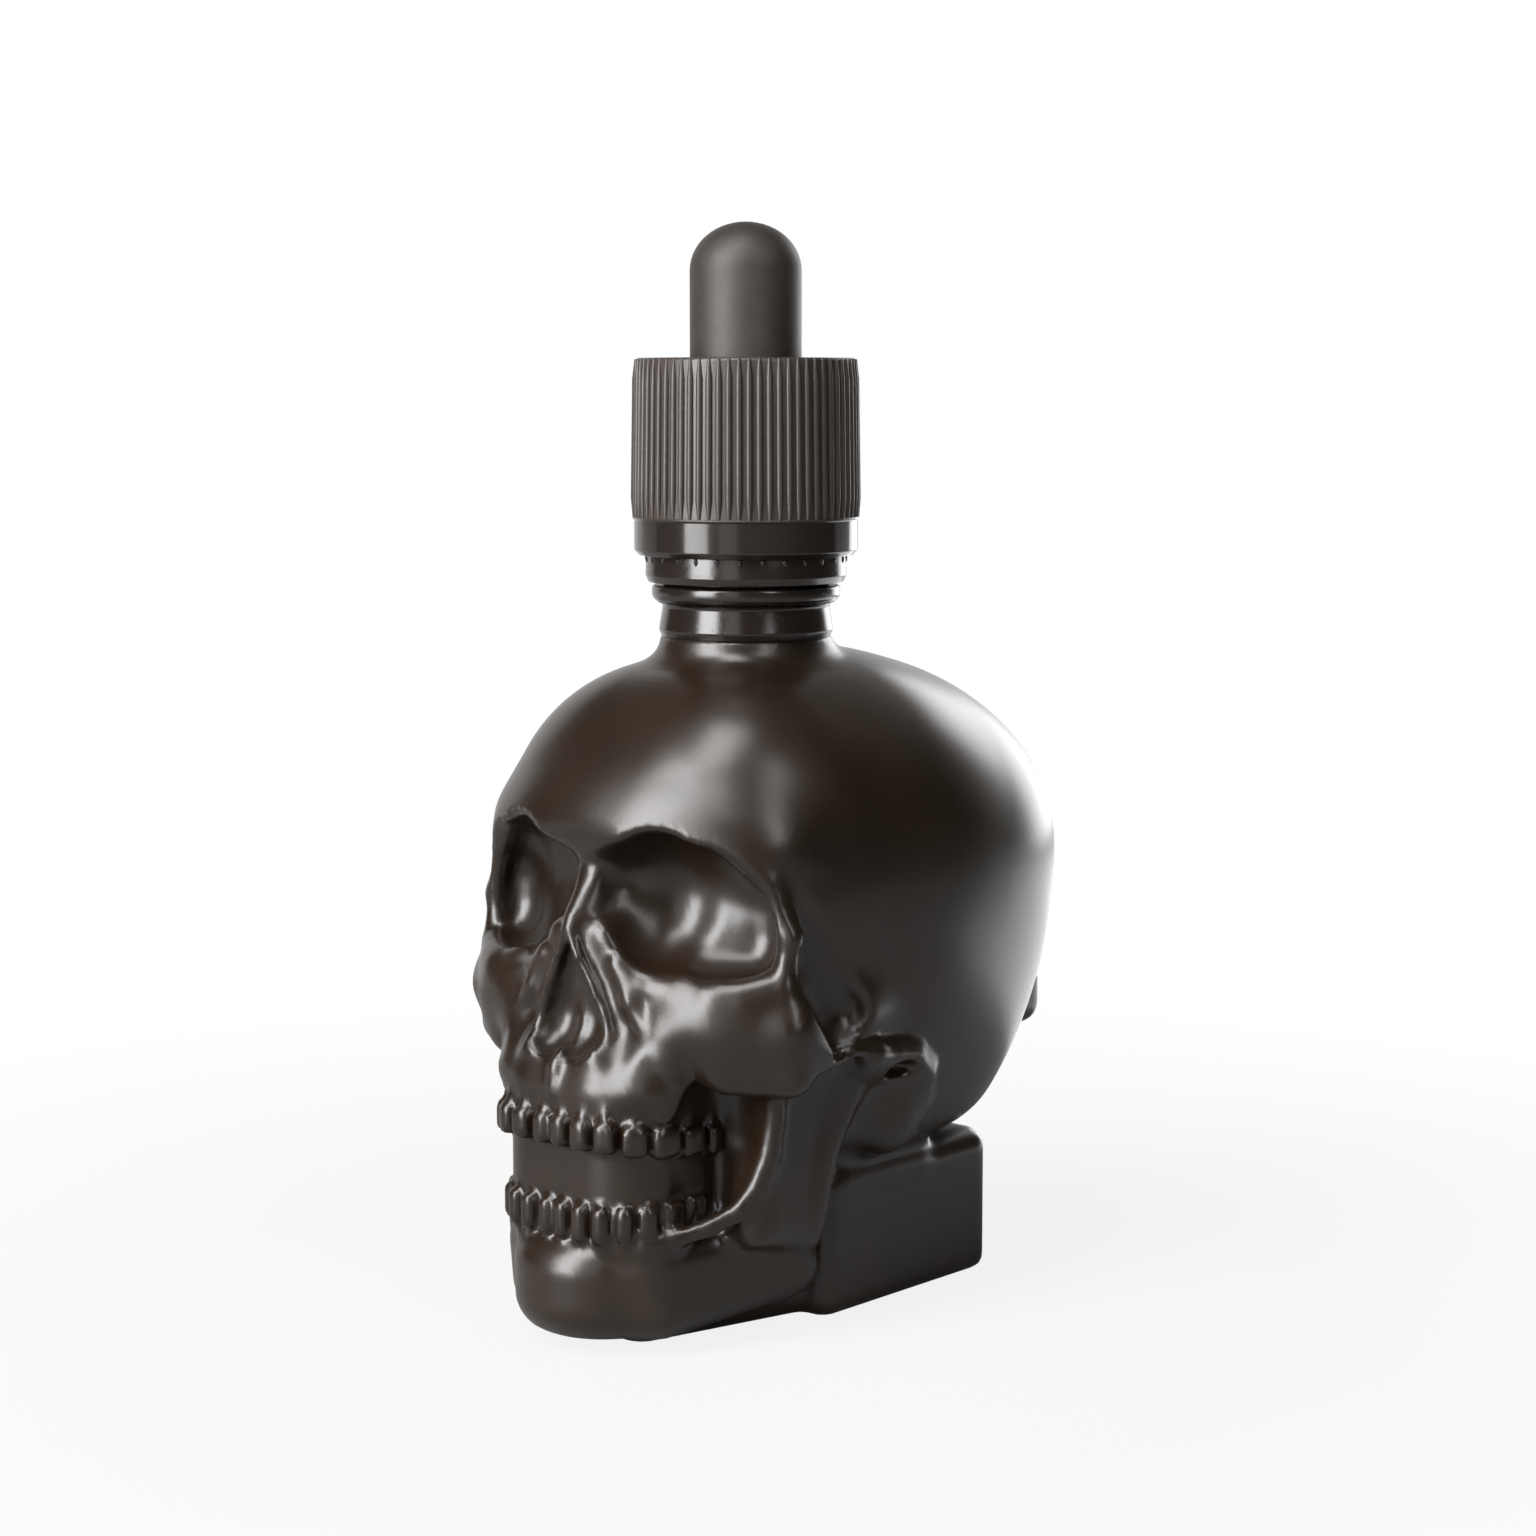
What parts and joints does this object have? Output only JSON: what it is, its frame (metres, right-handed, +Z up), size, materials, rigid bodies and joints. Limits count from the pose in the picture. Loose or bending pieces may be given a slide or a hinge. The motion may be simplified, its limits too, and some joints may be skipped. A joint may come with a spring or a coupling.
{
  "type": "skull dropper bottle",
  "caption": "Skull-shaped bottle in matte black glass with a ribbed push-and-turn cap, a rubber bulb and a glass pipette, for bitters dosed by the drop.",
  "frame": {"origin": "on the neck's axis, in the plane of the flat base", "axes": "+Z up along the neck; the face looks to -Y and the back of the skull to +Y; +X is the skull's own left"},
  "size_m": [0.0475, 0.0686, 0.1082],
  "materials": {
    "coated_glass": "matte black coat outside, satin sheen",
    "band_plastic": "glossy black",
    "liner_plastic": "black, as moulded",
    "shell_plastic": "black, satin ribs over a glossy band",
    "bulb_rubber": "matte black",
    "clear_glass": "clear, fire-polished"
  },
  "bodies": {
    "bottle": {"bottle": "coated_glass"},
    "dropper": {"bulb": "bulb_rubber", "pipette": "clear_glass"},
    "screw_cap": {"inner_cap": "liner_plastic"},
    "press_shell": {"outer_cap": "shell_plastic"},
    "band": {"tamper_band": "band_plastic"}
  },
  "joints": [
    {"name": "dropper_lift", "type": "slide", "parent": "bottle", "child": "dropper", "axis": [0, 0, 1], "range_m": [0, 0.08]},
    {"name": "cap_turn", "type": "hinge", "parent": "dropper", "child": "screw_cap", "pos_m": [0, 0, 0.08], "axis": [0, 0, 1], "range_deg": [0, 720]},
    {"name": "press_down", "type": "slide", "parent": "screw_cap", "child": "press_shell", "axis": [0, 0, -1], "range_m": [0, 0.0012], "stiffness_N_per_m": 3000, "springref_m": -0.001},
    {"name": "band_turn", "type": "hinge", "parent": "bottle", "child": "band", "pos_m": [0, 0, 0.074], "axis": [0, 0, 1], "continuous": true}
  ]
}
